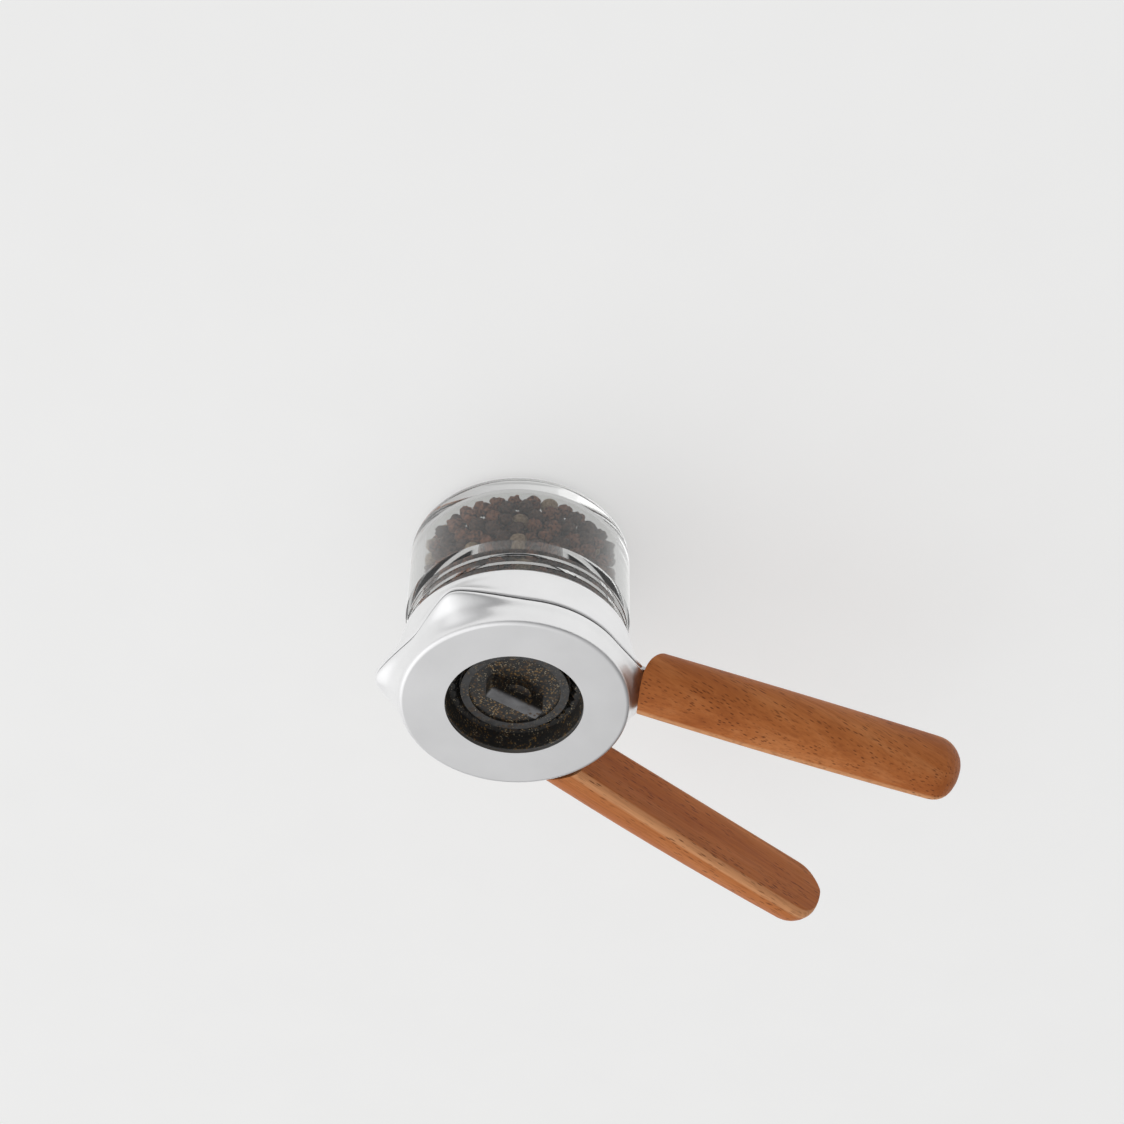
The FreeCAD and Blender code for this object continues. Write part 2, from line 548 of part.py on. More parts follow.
def grip_stations():
    """Distances of the handle's sections: even along its length, closing up round its end."""
    start = BODY_R - ROOT_SINK
    bend = GRIP_END - GRIP_END_REACH
    even = [start + (bend - start) * i / GRIP_STATIONS for i in range(GRIP_STATIONS)]
    turn = math.radians(GRIP_END_TURN) / GRIP_END_STATIONS
    closing = [bend + GRIP_END_REACH * math.sin(turn * i) for i in range(GRIP_END_STATIONS + 1)]
    return even + closing


def root_cope():
    """Hollowed end of a handle: everything inside a cone that follows the housing's flare."""
    low_z = SEAM_Z - GRIP_END_BELOW - OVER
    high_z = OUTLET_Z + OVER
    return revolve([(0, low_z), (cope_radius(low_z), low_z), (cope_radius(high_z), high_z), (0, high_z)])


def tang_outline(inset=0.0):
    """Tang in the handle's own frame, as (x, y) corners from inside the housing to its tip."""
    y0 = GRIP_OFFSET + TANG_SIDE - inset
    y1 = y0 + TANG_WIDTH + 2 * inset
    x0 = DOWEL_CIRCLE_R - TANG_ROOT
    x1 = cope_radius(SEAM_Z) + TANG_LENGTH + inset
    return [(x0, y0), (x1, y0), (x1, y1), (x0, y1)]


def cope_radius(z):
    """Radius of the hollowed root's cone at a height."""
    return COPE_OUTLET_R + COPE_FLARE * (OUTLET_Z - z) / (OUTLET_Z - GRIP_JAR_Z)


def make_grip(tang_thick, lugs):
    """Beech handle on the +Y side, slotted for its tang, its root shaped to the lug that it sits on."""
    grip = Part.makeLoft([grip_section(x) for x in grip_stations()], True, True)
    slot = extrude_outline(tang_outline(FIT_CLEAR), SEAM_Z - tang_thick / 2, SEAM_Z + tang_thick / 2)
    grip = turned(grip.cut(slot), HANDLE_ANGLE).cut(root_cope())
    return grip.cut(flared_solid(lugs, lug_levels(SEAT_CLEAR)))


def tang_plate(extra=0.0):
    """Outline of the fixed tang: a blade and a round root inside the fixed handle's lug."""
    low = UPPER_RIM_Z
    high = LOWER_RIM_Z
    blade = turned(extrude_outline(tang_outline(extra), low, high), HANDLE_ANGLE)
    levels = [(z, BODY_R - TANG_SET_BACK + extra, LUG_TIP_R - TANG_SET_BACK + extra) for z in (low, high)]
    disc = cylinder(TANG_ROOT_R + extra, low, high, polar(DOWEL_CIRCLE_R, LUG_ANGLE))
    root = flared_solid((LUG_ANGLE,), levels).common(disc)
    return blade.fuse(root).removeSplitter()


def make_fixed_tang():
    """Steel plate clamped between the shells in the fixed handle's lug, running into the handle."""
    low = UPPER_RIM_Z - OVER
    high = LOWER_RIM_Z + OVER
    plate = tang_plate().cut(cylinder(CAVITY_R + FACE_CLEAR, low, high))
    return plate.cut(cylinder(DOWEL_R, low, high, polar(DOWEL_CIRCLE_R, LUG_ANGLE)))


def make_drive_lever():
    """Cast lever: ring plate on the bush, neck through the seam, outside lug, and tang."""
    ring = tube(PLATE_R, BUSH_R + RUN_CLEAR, PLATE_Z, PLATE_TOP_Z)
    blade = mirrored(turned(extrude_outline(tang_outline(), PLATE_Z, PLATE_TOP_Z), HANDLE_ANGLE))
    fan = [ORIGIN]
    for step in (-NECK_HALF_ANGLE, 0, NECK_HALF_ANGLE):
        fan.append(polar(LUG_TIP_R - NECK_LUG_DEPTH, LEVER_LUG + step))
    neck = extrude_outline([(p.x, p.y) for p in fan], PLATE_Z, PLATE_TOP_Z)
    neck = neck.cut(cylinder((BUSH_R + PLATE_R) / 2, PLATE_Z - OVER, PLATE_TOP_Z + OVER))
    lever = ring.fuse([blade, neck, lever_lug()])
    for angle in PAWL_ANGLES:
        pin = cylinder(PAWL_PIN_R, PLATE_Z - OVER, PLATE_TOP_Z + OVER, polar(PAWL_PIVOT_R, angle))
        post = cylinder(PAWL_SPRING_POST_R, PLATE_Z, PAWL_TOP_Z, spring_post(angle))
        lever = lever.cut(pin).fuse(post)
    stop = cylinder(RETURN_STOP_R, PLATE_Z, RETURN_Z + RETURN_STOP_OVER, return_stop(False))
    return lever.fuse(stop)


def lever_lug():
    """The lever's half of the housing's outline: a lug outside the round shells, matching the fixed one."""
    lug = flared_solid((LEVER_LUG,), lug_levels())
    lug = lug.cut(cylinder(BODY_R + SWEEP_CLEAR, COLLAR_Z - OVER, OUTLET_Z + OVER))
    side = 2 * LUG_TIP_R
    beyond = turned(Part.makeBox(side, side, OUTLET_Z, ORIGIN), lever_lug_end())
    return lug.cut(beyond)


def lever_lug_end():
    """Angle at which the lever's lug stops, so that it clears the fixed lug's flank when squeezed."""
    fall = 1.0 - math.sqrt(SWEEP_CLEAR / LUG_REACH) * (1.0 - LUG_TIP_SHARE)
    off = LUG_SPREAD * math.sqrt(fall ** 2 - LUG_TIP_SHARE ** 2)
    return LUG_ANGLE - off - SQUEEZE - LUG_STOP_GAP


def make_pawl_pins():
    """Rivet pins that hold the pawls on the lever plate."""
    places = [polar(PAWL_PIVOT_R, angle) for angle in PAWL_ANGLES]
    return Part.makeCompound([cylinder(PAWL_PIN_R, PLATE_Z, PIN_TOP_Z, place) for place in places])


def tooth_pitch():
    return 360.0 / RATCHET_TEETH


def pawl_nose_angle():
    """Angle from a pawl's pivot to the tooth face that its nose pushes."""
    return tooth_pitch() * PAWL_NOSE_TEETH


def pawl_back_r():
    """Radius of the back of a pawl's arm."""
    return RATCHET_TIP_R + PAWL_ARM_GAP + PAWL_ARM


def make_pawl(angle):
    """Pushing pawl: an eye on its pin, a curved arm outside the teeth and a nose behind one of them."""
    face = angle + pawl_nose_angle() - math.degrees(PAWL_NOSE_GAP / RATCHET_TIP_R)
    width = math.degrees(PAWL_NOSE_WIDTH / RATCHET_TIP_R)
    heel = face - width
    back = pawl_back_r()
    front = back - PAWL_ARM
    eye = PAWL_EYE_R * PAWL_EYE_SHARE
    along = [(t ** 2, angle + (heel - angle) * (1 - t)) for t in PAWL_ARM_STEPS]
    outline = [polar(RATCHET_ROOT_R + PAWL_NOSE_LIFT, face), polar(back - PAWL_NOSE_BEVEL, face)]
    outline.append(polar(back, heel))
    outline += [polar(back + (PAWL_PIVOT_R + eye - back) * share, a) for share, a in along]
    outline += [polar(front + (PAWL_PIVOT_R - eye - front) * share, a) for share, a in reversed(along)]
    outline.append(polar(front, heel))
    outline.append(polar(RATCHET_ROOT_R + PAWL_HEEL_LIFT, face - width * PAWL_HEEL_SHARE))
    place = polar(PAWL_PIVOT_R, angle)
    arm = extrude_outline([(p.x, p.y) for p in outline], PAWL_Z, PAWL_TOP_Z)
    pawl = arm.fuse(cylinder(PAWL_EYE_R, PAWL_Z, PAWL_TOP_Z, place))
    pawl = pawl.cut(cylinder(PAWL_PIN_R + RUN_CLEAR, PAWL_Z - OVER, PAWL_TOP_Z + OVER, place))
    return pawl.removeSplitter()


def spring_post(angle):
    """Place of the lever's post that holds a pawl's spring."""
    return polar(PAWL_PIVOT_R + PAWL_SPRING_POST_OUT, angle + PAWL_SPRING_REACH)


def make_pawl_spring(angle):
    """Leaf spring from its post on the lever to the pawl's back."""
    post = spring_post(angle)
    touch = polar(pawl_back_r() + PAWL_SPRING_SEAT, angle + pawl_nose_angle() * PAWL_SPRING_SHARE)
    along = (touch - post).normalize()
    start = post + along * (PAWL_SPRING_POST_R + FIT_CLEAR)
    half = V(-along.y, along.x, 0) * (PAWL_SPRING_THICK / 2)
    corners = [start + half, touch + half, touch - half, start - half]
    return extrude_outline([(p.x, p.y) for p in corners], PAWL_Z + FACE_CLEAR, PAWL_TOP_Z - FACE_CLEAR)


def make_rotor_bush():
    """Nylon bush pressed into the upper shell: the rotor turns inside it, the lever outside."""
    top = PAWL_Z - BUSH_TOP_GAP
    bush = tube(BUSH_R, BUSH_R - BUSH_WALL, WEB_UNDER_Z, top)
    flange = tube(BUSH_FLANGE_R, BUSH_R - BUSH_FLANGE_SINK, WEB_TOP_Z, PLATE_Z - FACE_CLEAR)
    return bush.fuse(flange).removeSplitter()


def make_ratchet_rotor():
    """Rotor: spoked floor that feeds the corns, wall inside the bush, ratchet teeth above it."""
    wall = tube(ROTOR_R, ROTOR_IN_R, ROTOR_FLOOR_Z, ROTOR_TOP_Z)
    rotor = wall.fuse(cylinder(ROTOR_HUB_R, ROTOR_FLOOR_Z, ROTOR_HUB_TOP_Z))
    for i in range(ROTOR_SPOKES):
        spoke = Part.makeBox(ROTOR_IN_R + ROTOR_WALL / 2, ROTOR_SPOKE_WIDTH, ROTOR_FLOOR,
                             V(0, -ROTOR_SPOKE_WIDTH / 2, ROTOR_FLOOR_Z))
        rotor = rotor.fuse(turned(spoke, 360.0 / ROTOR_SPOKES * i))
    rotor = rotor.fuse(ratchet_ring())
    hole = square_bar(SPINDLE_SIDE + 2 * FIT_CLEAR, ROTOR_FLOOR_Z - OVER, ROTOR_HUB_TOP_Z + OVER)
    return rotor.cut(hole).removeSplitter()


def ratchet_ring():
    """Saw teeth: each rises steeply, then falls away in the turning direction."""
    points = []
    for i in range(RATCHET_TEETH):
        face = PAWL_ANGLES[0] + pawl_nose_angle() + tooth_pitch() * i
        points.append(polar(RATCHET_ROOT_R, face))
        points.append(polar(RATCHET_TIP_R, face))
    ring = extrude_outline([(p.x, p.y) for p in points], RATCHET_Z, ROTOR_TOP_Z)
    return ring.cut(cylinder(ROTOR_IN_R, RATCHET_Z - OVER, ROTOR_TOP_Z + OVER))


def carrier_screw_points():
    """Places of the carrier's screws, evenly round the axis."""
    step = 360.0 / CARRIER_SCREWS
    return [polar(CARRIER_SCREW_CIRCLE_R, step * (i + 0.5)) for i in range(CARRIER_SCREWS)]


def make_burr_carrier():
    """Black plastic sleeve that holds the outer burr and lines the outlet, with a screwed flange."""
    lip_z = ROTOR_TOP_Z + CARRIER_CLEAR
    top = CARRIER_FLANGE_TOP_Z
    carrier = revolve([(BURR_R, BURR_BOTTOM_Z), (CARRIER_R, BURR_BOTTOM_Z), (CARRIER_R, lip_z),
                       (ROTOR_R, lip_z), (ROTOR_R, CARRIER_FLANGE_Z),
                       (CARRIER_FLANGE_R, CARRIER_FLANGE_Z), (CARRIER_FLANGE_R, top),
                       (CARRIER_R, top), (CARRIER_R, RING_UNDER_Z), (OUTLET_HOLE_R - CHUTE_LIP, RING_UNDER_Z),
                       (CHUTE_R, BURR_TOP_Z), (BURR_R, BURR_TOP_Z)])
    for place in carrier_screw_points():
        hole = cylinder(CARRIER_SCREW_R + FIT_CLEAR, CARRIER_FLANGE_Z - OVER, top + OVER, place)
        carrier = carrier.cut(hole)
    return carrier


def make_carrier_screws():
    """Small screws up through the carrier's flange into the lower shell."""
    screws = []
    for place in carrier_screw_points():
        head = cylinder(CARRIER_SCREW_HEAD_R, CARRIER_FLANGE_Z - CARRIER_SCREW_HEAD, CARRIER_FLANGE_Z, place)
        shank = cylinder(CARRIER_SCREW_R, CARRIER_FLANGE_Z, CARRIER_FLANGE_Z + CARRIER_SCREW_LENGTH, place)
        screws.append(head.fuse(shank))
    return Part.makeCompound(screws)


def grooves(count, low, high, twist):
    """Slanting V grooves along a cone from (radius, z) low to high, as cutting prisms."""
    cuts = []
    for i in range(count):
        angle = 360.0 / count * i
        wires = []
        for (radius, z), turn in ((low, 0.0), (high, twist)):
            centre = polar(radius, angle + turn, z)
            out = polar(1, angle + turn)
            side = V(-out.y, out.x, 0)
            corners = [centre + side * BURR_GROOVE, centre + out * BURR_GROOVE, centre - side * BURR_GROOVE,
                       centre - out * BURR_GROOVE]
            wires.append(Part.makePolygon(corners + corners[:1]))
        cuts.append(Part.makeLoft(wires, True, True))
    return cuts


def make_outer_burr():
    """Fixed ceramic ring with a toothed cone that widens towards the outlet."""
    burr = revolve([(OUTER_BURR_IN_R, BURR_BOTTOM_Z), (BURR_R, BURR_BOTTOM_Z), (BURR_R, BURR_TOP_Z),
                    (OUTER_BURR_OUT_R, BURR_TOP_Z)])
    slope = (OUTER_BURR_OUT_R - OUTER_BURR_IN_R) / (BURR_TOP_Z - BURR_BOTTOM_Z)
    low = (OUTER_BURR_IN_R - slope * BURR_GROOVE_OVER, BURR_BOTTOM_Z - BURR_GROOVE_OVER)
    high = (OUTER_BURR_OUT_R + slope * BURR_GROOVE_OVER, BURR_TOP_Z + BURR_GROOVE_OVER)
    return burr.cut(grooves(BURR_TEETH_OUTER, low, high, BURR_TWIST_OUTER))


def make_inner_burr():
    """Turning ceramic cone with teeth, a square hole for the spindle and a pocket for the spring."""
    bottom = INNER_BURR_BOTTOM_Z
    rim_z = INNER_BURR_TOP_Z - INNER_BURR_RIM
    burr = revolve([(0, bottom), (INNER_BURR_IN_R, bottom), (INNER_BURR_OUT_R, rim_z),
                    (INNER_BURR_OUT_R, INNER_BURR_TOP_Z), (0, INNER_BURR_TOP_Z)])
    slope = (INNER_BURR_OUT_R - INNER_BURR_IN_R) / (rim_z - bottom)
    low = (INNER_BURR_IN_R - slope * BURR_GROOVE_OVER, bottom - BURR_GROOVE_OVER)
    high = (INNER_BURR_OUT_R + slope * INNER_BURR_RIM / 2, INNER_BURR_TOP_Z - INNER_BURR_RIM / 2)
    burr = burr.cut(grooves(BURR_TEETH_INNER, low, high, BURR_TWIST_INNER))
    burr = burr.cut(cylinder(ADJUST_POCKET_R, bottom - OVER, ADJUST_POCKET_TOP_Z))
    return burr.cut(square_bar(SPINDLE_SIDE + 2 * RUN_CLEAR, bottom - OVER, INNER_BURR_TOP_Z + OVER))


def make_spindle():
    """Square shaft through rotor and burr, with a head below and a thread for the dial above."""
    head = cylinder(SPINDLE_HEAD_R, ROTOR_FLOOR_Z - SPINDLE_HEAD, ROTOR_FLOOR_Z)
    square = square_bar(SPINDLE_SIDE, ROTOR_FLOOR_Z, SPINDLE_SQUARE_TOP_Z)
    thread = cylinder(SPINDLE_THREAD_R, SPINDLE_SQUARE_TOP_Z, SPINDLE_TOP_Z)
    return head.fuse([square, thread]).removeSplitter()


def coil(mean_r, wire, pitch, turns, z):
    """Round-wire helix in half turns, with its centreline starting at (mean_r, 0, z)."""
    halves = []
    for i in range(round(turns * 2)):
        half = Part.makeHelix(pitch, pitch / 2, mean_r)
        half.translate(V(0, 0, z + pitch / 2 * i))
        half.rotate(ORIGIN, UP, 180.0 * i)
        halves.extend(half.Edges)
    circle = Part.Wire(Part.makeCircle(wire / 2, V(mean_r, 0, z), V(0, 1, 0)))
    return Part.Wire(halves).makePipeShell([circle], True, True)


def make_adjust_spring():
    """Compression spring that pushes the inner burr towards the dial."""
    low = ROTOR_HUB_TOP_Z + ADJUST_WIRE / 2
    high = ADJUST_POCKET_TOP_Z - ADJUST_WIRE / 2
    pitch = (high - low) / ADJUST_TURNS
    return coil(ADJUST_COIL_R, ADJUST_WIRE, pitch, ADJUST_TURNS, low)


def return_stop(after_end):
    """Place of the post at the return spring's lower end, or of the boss after its upper end."""
    step = math.degrees((RETURN_STOP_R + FIT_CLEAR) / RETURN_COIL_R)
    if after_end:
        return polar(RETURN_COIL_R, RETURN_LOWER_ANGLE + 360.0 * RETURN_TURNS + step)
    return polar(RETURN_COIL_R, RETURN_LOWER_ANGLE - step)


def make_return_spring():
    """Torsion spring that opens the handles, between the lever's post and the lower shell's boss."""
    turns = coil(RETURN_COIL_R, RETURN_WIRE, RETURN_PITCH, RETURN_TURNS, RETURN_Z)
    return turned(turns, RETURN_LOWER_ANGLE)


def make_thrust_washer():
    """Steel washer between the inner burr and the dial."""
    return tube(WASHER_R, SPINDLE_THREAD_R + WASHER_CLEAR, INNER_BURR_TOP_Z, DIAL_Z)


def make_adjust_dial():
    """Grind dial in the outlet: rimmed disc with a raised finger bar across it."""
    disc = cylinder(DIAL_R, DIAL_Z, DIAL_Z + DIAL_DISC)
    rim = tube(DIAL_R, DIAL_RIM_IN_R, DIAL_Z, DIAL_Z + DIAL_RIM_HEIGHT)
    boss = cylinder(DIAL_BOSS_R, DIAL_Z, DIAL_Z + DIAL_BOSS_HEIGHT)
    bar = Part.makeBox(DIAL_BAR_LENGTH, DIAL_BAR_WIDTH, DIAL_BAR_HEIGHT,
                       V(-DIAL_BAR_LENGTH / 2, -DIAL_BAR_WIDTH / 2, DIAL_Z))
    rounded = [edge for edge in bar.Edges if edge.BoundBox.ZMax > DIAL_Z + DIAL_BAR_HEIGHT / 2]
    bar = bar.makeFillet(DIAL_BAR_ROUND, rounded)
    dial = disc.fuse([rim, boss, bar]).removeSplitter()
    return dial.cut(cylinder(NUT_R, DIAL_Z - OVER, NUT_TOP_Z))


def make_dial_nut():
    """Brass insert that the spindle's thread turns in."""
    return tube(NUT_R, SPINDLE_THREAD_R + RUN_CLEAR, DIAL_Z, NUT_TOP_Z)


def main():
    parts = {
        "glass_jar": make_glass_jar(),
        "jar_gasket": make_jar_gasket(),
        "upper_shell": make_upper_shell(),
        "lower_shell": make_lower_shell(),
        "housing_dowels": make_housing_dowels(),
        "fixed_tang": make_fixed_tang(),
        "fixed_handle": make_grip(SEAM_GAP, FIXED_LUGS),
        "drive_lever": make_drive_lever(),
        "moving_handle": mirrored(make_grip(PLATE_THICK, (LUG_ANGLE,))),
        "pawl_pins": make_pawl_pins(),
        "pawl_a": make_pawl(PAWL_ANGLES[0]),
        "pawl_b": make_pawl(PAWL_ANGLES[1]),
        "pawl_spring_a": make_pawl_spring(PAWL_ANGLES[0]),
        "pawl_spring_b": make_pawl_spring(PAWL_ANGLES[1]),
        "return_spring": make_return_spring(),
        "rotor_bush": make_rotor_bush(),
        "ratchet_rotor": make_ratchet_rotor(),
        "spindle": make_spindle(),
        "adjust_spring": make_adjust_spring(),
        "burr_carrier": make_burr_carrier(),
        "carrier_screws": make_carrier_screws(),
        "outer_burr": make_outer_burr(),
        "inner_burr": make_inner_burr(),
        "thrust_washer": make_thrust_washer(),
        "adjust_dial": make_adjust_dial(),
        "dial_nut": make_dial_nut(),
    }
    os.makedirs("parts", exist_ok=True)
    for name, shape in parts.items():
        box = shape.BoundBox
        print(f"{name:16s} solids {len(shape.Solids)} valid {shape.isValid()} volume {shape.Volume:9.1f} "
              f"x {box.XMin:7.2f} {box.XMax:7.2f} y {box.YMin:7.2f} {box.YMax:7.2f} "
              f"z {box.ZMin:6.2f} {box.ZMax:6.2f}")
        shape.exportStep(f"parts/{name}.step")


main()
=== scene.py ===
"""Pepper mill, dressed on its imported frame: materials, the jar's peppercorns, floor, light and camera."""
import math

import bmesh
import bpy
import numpy as np
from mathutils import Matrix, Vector


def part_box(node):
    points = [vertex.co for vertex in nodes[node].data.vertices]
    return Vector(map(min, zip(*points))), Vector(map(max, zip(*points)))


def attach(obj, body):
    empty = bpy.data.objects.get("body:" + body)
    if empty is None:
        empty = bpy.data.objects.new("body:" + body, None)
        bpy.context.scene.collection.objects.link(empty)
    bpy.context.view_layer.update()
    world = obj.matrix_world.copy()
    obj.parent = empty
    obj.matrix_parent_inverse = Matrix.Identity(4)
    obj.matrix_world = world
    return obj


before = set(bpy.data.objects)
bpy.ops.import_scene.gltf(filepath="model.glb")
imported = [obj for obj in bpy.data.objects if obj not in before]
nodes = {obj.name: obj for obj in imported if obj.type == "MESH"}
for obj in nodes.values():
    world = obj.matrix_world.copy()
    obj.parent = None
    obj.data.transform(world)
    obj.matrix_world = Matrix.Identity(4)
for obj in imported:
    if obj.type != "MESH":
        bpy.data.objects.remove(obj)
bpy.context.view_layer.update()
scene = bpy.context.scene
scene.view_settings.view_transform = "Standard"

# Enough bounces for light to find its way out of the jar's thick base and threads
scene.cycles.max_bounces = 24
scene.cycles.glossy_bounces = 16
scene.cycles.transmission_bounces = 24

# Camera at the photograph's viewing angle: metres, degrees, and millimetres for lens and sensor
CAMERA_AT = (-0.24138, 0.40173, 0.50588)
CAMERA_TURN = (-42.954, 0.965, 33.381)
CAMERA_LENS = 83.77
CAMERA_SENSOR = 36.0
CAMERA_CLIP = (0.01, 20.0)

# Edges flatter than this many degrees are shaded smooth
SMOOTH_BELOW = 30

# Handles lean this far from the X axis, and the fixed one's grain also slopes towards the outlet, degrees
HANDLE_ANGLE = 10.0
GRAIN_SLOPE = 16.0

# Handles' flat inner faces lie this far from the mill's axis, and the rounded edges beside them get a
# painted highlight, partly wear, paler between two soft limits, metres
FLAT_FACE_Y = 0.0076
EDGE_HIGHLIGHT_FROM = (FLAT_FACE_Y + 0.00003, FLAT_FACE_Y + 0.0002)
EDGE_HIGHLIGHT_TO = (FLAT_FACE_Y + 0.0020, FLAT_FACE_Y + 0.0027)

# Height of the dial's rim, whose top gets a painted sheen, paler between two soft limits, metres
DIAL_RIM_Z = 0.0506
RIM_SHEEN_FROM = (DIAL_RIM_Z - 0.0003, DIAL_RIM_Z)
RIM_SHEEN_TO = (DIAL_RIM_Z + 0.0002, DIAL_RIM_Z + 0.0004)

# The dial's finger bar gets a painted sheen, paler between these depths below its top, metres
BAR_SHEEN_DEPTHS = (0.0010, 0.0001)

# Inside of the jar that the peppercorns fill, metres
JAR_BORE_R = 0.0253
JAR_FLOOR_Z = 0.0036
JAR_CORNER_R = 0.0030
FILL_TOP_Z = 0.0372

# Peppercorns: how many, and their radii in metres; then how many furrows each has, how tightly these wind
# and how wide they are on a unit sphere
CORN_COUNT = 900
CORN_R = (0.0018, 0.0025)
FURROWS = 6
FURROW_WAVES = 2.4
FURROW_WIDTH = 0.22
SEED = 7

# Kinds of corn: share of them all, furrow depth as a share of the radius, painted shade in wrinkles, colour
# between
CORN_KINDS = {
    "black": {"share": 0.40, "furrow": 0.28, "dark": (0.012, 0.008, 0.006), "light": (0.170, 0.090, 0.060)},
    "brown": {"share": 0.50, "furrow": 0.28, "dark": (0.035, 0.013, 0.008), "light": (0.420, 0.180, 0.100)},
    "cream": {"share": 0.10, "furrow": 0.10, "dark": (0.260, 0.170, 0.100), "light": (0.560, 0.420, 0.280)},
}

# Settling of the corns: share of an overlap that a step undoes, fall in a step, which fades out over
# FALL_STEPS, gap to the jar's wall, both in metres, and inset at its bottom corner as a share of the height
SETTLE_STEPS = 220
SETTLE_EASE = 0.45
FALL = 0.00004
FALL_STEPS = 180
WALL_GAP = 0.0001
CORNER_INSET = 0.5

# Most values of a noise texture lie between these
NOISE_SPREAD = (0.3, 0.7)

# Share of its mean roughness that a finish has at its smoothest and its roughest
METAL_ROUGH = (0.95, 1.06)
MATT_ROUGH = (0.85, 1.15)

# Ground pepper: cells per metre, size of a grain in its cell, colour; then a grain's soft outer edge as a
# multiple of its size, and the frequency of bare patches as a share of the cells'
PEPPER_GRAINS = (
    (900.0, 0.30, (0.060, 0.034, 0.016)),
    (1250.0, 0.27, (0.220, 0.130, 0.045)),
    (1700.0, 0.22, (0.400, 0.330, 0.220)),
)
GRAIN_EDGE = 1.5
PATCH_SCALE = 0.25

# Moulding grain of the black plastic, cells per metre
PLASTIC_GRAIN = 2500.0

# Steamed beech: growth bands, darker zones, threads, rays, and a painted highlight on the edges, partly wear
WOOD_BANDS = [(0.28, (0.40, 0.115, 0.028)), (0.5, (0.56, 0.185, 0.052)), (0.74, (0.70, 0.285, 0.105))]
WOOD_ZONE = (0.38, 0.105, 0.027)
WOOD_THREAD = (0.27, 0.070, 0.020)
WOOD_RAY = (0.095, 0.025, 0.010)
# Painted highlight on the handles' rounded inner edges, partly wear: its colour and its share
WOOD_EDGE_HIGHLIGHT = (0.80, 0.40, 0.19)
EDGE_HIGHLIGHT_SHARE = 0.78

# Floor in metres, and its even glow: the camera's share of it, and its strength in metal and through glass
FLOOR_HALF = 3.0
FLOOR_Z = -0.0003
GLOW_SHARE = 0.55
GLOW_IN_METAL = 0.97
GLOW_IN_GLASS = 0.52

# Studio surround: where it is brightest, as a direction from the mill, its shades, and the camera's backdrop
BRIGHT_SIDE = (-0.45, -0.30, 0.84)
SURROUND = [(0.0, (0.20, 0.20, 0.203)), (0.95, (0.94, 0.94, 0.94))]
BACKDROP = (0.84, 0.84, 0.84, 1.0)

# Soft boxes: place, target and size in metres, power in watts
LAMPS = {
    "key": ((-0.50, -0.44, 0.78), (0.02, 0, 0.03), (1.6, 1.6), 1.4),
    "fill": ((0.60, 0.50, 0.50), (0.04, 0, 0.03), (0.8, 0.8), 0.3),
    "back": ((-0.40, -0.70, 0.35), (0.02, 0, 0.03), (1.4, 1.0), 1.2),
}


